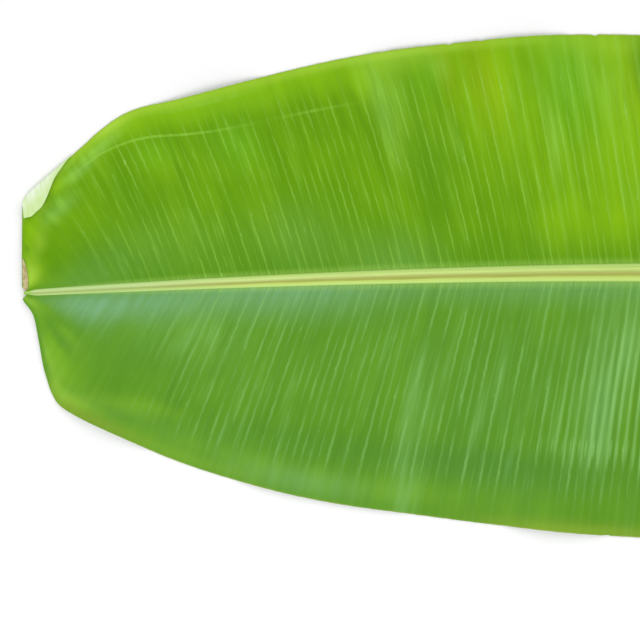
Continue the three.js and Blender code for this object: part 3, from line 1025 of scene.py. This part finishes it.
def makeRib():
    sides = len(ribSection(0.0))
    piece = addGrid("midrib_and_stalk", ribLook["stations"], sides)
    u, v = gridPlaces(piece)
    station = np.rint(u * ribLook["stations"]).astype(int)
    side = np.rint(v * sides).astype(int) % sides
    points = np.empty((len(u), 3))
    across = np.empty(len(u))
    upward = np.empty(len(u))
    whole = ribForm["end"] - ribLook["endsBehindCut"] - ribForm["start"]
    steps = np.arange(ribLook["stations"] + 1) / ribLook["stations"]
    lengths = ribForm["start"] + whole * steps ** ribLook["crowding"]
    for i, x in enumerate(lengths):
        here = station == i
        section = ribSection(x)
        places = ribPlaces(x, section)
        points[here] = places[side[here]]
        across[here] = section[side[here], 0]
        upward[here] = section[side[here], 1]
    placePoints(piece, points)
    setTone(piece, "across", across)
    setTone(piece, "upward", upward)
    setTone(piece, "length", lengths[station] / ribForm["end"])
    dress(piece, rindFinish())
    mergePoints(piece, ribLook["mergeAt"])
    # Both ends are closed, and the cut's face is a piece of its own
    closeEnds(piece)
    shadeSmooth(piece, ribLook["smoothAngle"])
    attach(piece, "root")
    print("midrib and stalk:", len(piece.data.polygons), "faces")


makeRib()


# The cut end of the stalk: a flat cut through spongy tissue with air channels

cutLook = {
    "columns": 110,
    "rows": 80,
    "widest": 1.055,  # of the half width
    "highest": 0.999,  # of the depth
    "channelPitch": 2.9,
    "rowRise": 0.866,  # of the pitch, from one row of channels to the next
    "channelRadius": 1.1,
    "channelUneven": (0.2, 3.1, 1.7),
    "channelEdge": 0.45,
    "channelDepth": 1.2,
    "rind": 1.5,
    "rindEdge": 0.8,
    "rimWidth": 1.3,
    "behindEnd": 0.02,
    "back": 2.2,
    "outlineStep": 0.1,
    "smoothAngle": 35,
}


def makeCut():
    look = cutLook
    section = ribSection(ribForm["end"])
    steps = np.sin(np.linspace(-1, 1, look["columns"] + 1) * math.pi / 2) * look["widest"]
    ring = np.vstack([section, section[:1]])
    floorLine = np.empty_like(steps)
    topLine = np.empty_like(steps)
    for i, a in enumerate(steps):
        crossings = [
            p[1] + (q[1] - p[1]) * (a - p[0]) / (q[0] - p[0])
            for p, q in zip(ring[:-1], ring[1:]) if (p[0] - a) * (q[0] - a) <= 0 and p[0] != q[0]
        ]
        floorLine[i] = max(0.0, min(crossings))
        topLine[i] = min(look["highest"], max(crossings))
    piece = addGrid("cut_end", look["columns"], look["rows"])
    u, v = gridPlaces(piece)
    column = np.rint(u * look["columns"]).astype(int)
    halfWidth = ribHalfWidth(ribForm["end"])
    height = ribDepth(ribForm["end"])
    y = steps[column] * halfWidth
    z = (floorLine[column] + (topLine[column] - floorLine[column]) * v) * height
    # How far each point is from the rind
    closely = np.arange(0, len(ring) - 1, look["outlineStep"])
    outline = np.stack([np.interp(closely, np.arange(len(ring)), ring[:, i]) for i in (0, 1)], 1)
    outline = outline * (halfWidth, height)

    def fromRind(y, z):
        return np.min(np.hypot(y[:, None] - outline[None, :, 0], z[:, None] - outline[None, :, 1]), axis=1)

    pitch, rise = look["channelPitch"], look["rowRise"]
    row = np.rint(z / (pitch * rise))
    across = (np.rint(y / pitch - 0.5 * (row % 2)) + 0.5 * (row % 2)) * pitch
    nearest = np.hypot(y - across, z - row * pitch * rise)
    # A channel opens only where its middle is well inside the rind
    clear = smooth((fromRind(across, row * pitch * rise) - look["rind"]) / look["rindEdge"])
    uneven, pace, rowPace = look["channelUneven"]
    radius = look["channelRadius"] * (1 - uneven + uneven * np.sin(across * pace + row * rowPace))
    pit = smooth((radius - nearest) / look["channelEdge"]) * clear
    x = ribForm["end"] - look["behindEnd"] - look["channelDepth"] * pit
    placePoints(piece, np.stack([x, y, z], 1))
    setTone(piece, "pit", pit)
    setTone(piece, "rim", np.clip(1 - fromRind(y, z) / look["rimWidth"], 0, 1))
    dress(piece, cutFinish())
    # The face's outline goes back into the stalk
    closeEnds(piece, look["back"] * mm)
    shadeSmooth(piece, look["smoothAngle"])
    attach(piece, "root")
    print("cut end:", len(piece.data.polygons), "faces")


makeCut()


# The dead thread at the tip: a thin dry scrap on the tip's edge beside the midrib

scrapLook = {
    "columns": 10,
    "rows": 40,
    "from": (0.9, 11.5),  # its narrow end, in mm from the tip and from the stalk's line
    "to": (2.1, -15.0),
    "widths": (0.8, 5.2),
    "widening": (2.3, 0.68),  # how far a sine turns over the length, and where its value is 1
    "tipSide": 0.25,  # of the width
    "waver": (0.5, 9),
    "crumple": 0.25,
    "crumplePaces": (23, 4, 5),
    "thickness": 0.3,
    "above": 0.55,
    "searched": 0.03,  # metres of the far half, from its tip
    "neighbours": 6,
    "smoothAngle": 50,
}


def makeScrap():
    look = scrapLook
    piece = addGrid("dry_tip", look["columns"], look["rows"])
    u, v = gridPlaces(piece)
    narrow, wide = look["widths"]
    turn, widestAt = look["widening"]
    waver, pace = look["waver"]
    (fromX, fromY), (toX, toY) = look["from"], look["to"]
    width = narrow + (wide - narrow) * np.sin(v * turn) / np.sin(turn * widestAt)
    x = fromX + (toX - fromX) * v + (u - look["tipSide"]) * width
    y = fromY + (toY - fromY) * v + waver * np.sin(v * pace) * u
    tipEnd = leafLow[0] + look["searched"]
    blade = np.array([vertex.co[:] for vertex in bladeFar.data.vertices if vertex.co.x < tipEnd])
    blade = (blade - leafShift) / mm
    top = np.empty_like(x)
    for i in range(len(x)):
        gap = np.hypot(blade[:, 0] - x[i], blade[:, 1] - y[i])
        top[i] = blade[np.argsort(gap)[:look["neighbours"]], 2].max()
    along, slant, across = look["crumplePaces"]
    crumple = look["crumple"] * (1 + np.sin(v * along + u * slant) * np.cos(u * across))
    placePoints(piece, np.stack([x, y, top + look["above"] + crumple], 1))
    dress(piece, dryTipFinish())
    applyModifier(piece, "SMOOTH", {"factor": 0.8, "iterations": 4})
    applyModifier(piece, "SOLIDIFY", {"thickness": look["thickness"] * mm, "offset": 0.0})
    shadeSmooth(piece, look["smoothAngle"])
    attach(piece, "root")
    print("dry tip:", len(piece.data.polygons), "faces")


makeScrap()


# Floor, light and camera

stageLook = {
    "floorColour": "#f6f6f4",
    "floorSize": 8,
    "floorBelow": 0.0004,  # so that no face of the leaf lies in the floor
    "floorRoughness": 0.9,
    "worldColour": "#fdfdff",
    "worldStrength": 0.74,
    "key": {
        "place": (-0.9, -1.5, 2.3), "target": (-0.2, 0, 0), "size": 1.6,
        "strength": 31.0, "colour": "#fbfcff",
    },
    "fill": {
        "place": (0.9, 1.6, 2.0), "target": (0.1, 0, 0), "size": 2.0,
        "strength": 13.0, "colour": "#ffffff",
    },
    "cameraLens": 100.0,
    "sensor": 36.0,
    "clip": (0.05, 20.0),
    "frameWidth": 0.5376,  # what the photo shows from edge to edge at the blade's height
    "centre": (250.7, -39.9),  # the photo's middle, in mm of the leaf
    "bladeHeight": 0.005,
}

selectNothing()
bpy.ops.mesh.primitive_plane_add(size=stageLook["floorSize"], location=(0, 0, -stageLook["floorBelow"]))
floor = bpy.context.active_object
floor.name = "floor"
floorFinish, floorTree, floorShader = startFinish("matt white paper ground")
setSurface(floorTree, floorShader, stageLook["floorColour"], stageLook["floorRoughness"])
dress(floor, floorFinish)

world = bpy.data.worlds.new("soft room")
bpy.context.scene.world = world
world.use_nodes = True
background = world.node_tree.nodes["Background"]
background.inputs["Color"].default_value = toLinear(stageLook["worldColour"])
background.inputs["Strength"].default_value = stageLook["worldStrength"]


def addLight(name, look):
    selectNothing()
    bpy.ops.object.light_add(type="AREA", location=look["place"])
    lamp = bpy.context.active_object
    lamp.name = name
    lamp.data.shape = "SQUARE"
    lamp.data.size = look["size"]
    lamp.data.energy = look["strength"]
    lamp.data.color = toLinear(look["colour"])[:3]
    aim = Vector(look["target"]) - Vector(look["place"])
    lamp.rotation_euler = aim.to_track_quat("-Z", "Y").to_euler()


addLight("window", stageLook["key"])
addLight("room fill", stageLook["fill"])

centre = np.array([*stageLook["centre"], 0.0]) * mm + leafShift
distance = stageLook["frameWidth"] * stageLook["cameraLens"] / stageLook["sensor"]
cameraPlace = (centre[0], centre[1], stageLook["bladeHeight"] + distance)
bpy.ops.object.camera_add(location=cameraPlace, rotation=(0, 0, 0))
camera = bpy.context.active_object
camera.name = "camera"
camera.data.lens = stageLook["cameraLens"]
camera.data.sensor_width = stageLook["sensor"]
camera.data.clip_start, camera.data.clip_end = stageLook["clip"]
bpy.context.scene.camera = camera
bpy.context.scene.view_settings.view_transform = "Standard"
print("stage ready")
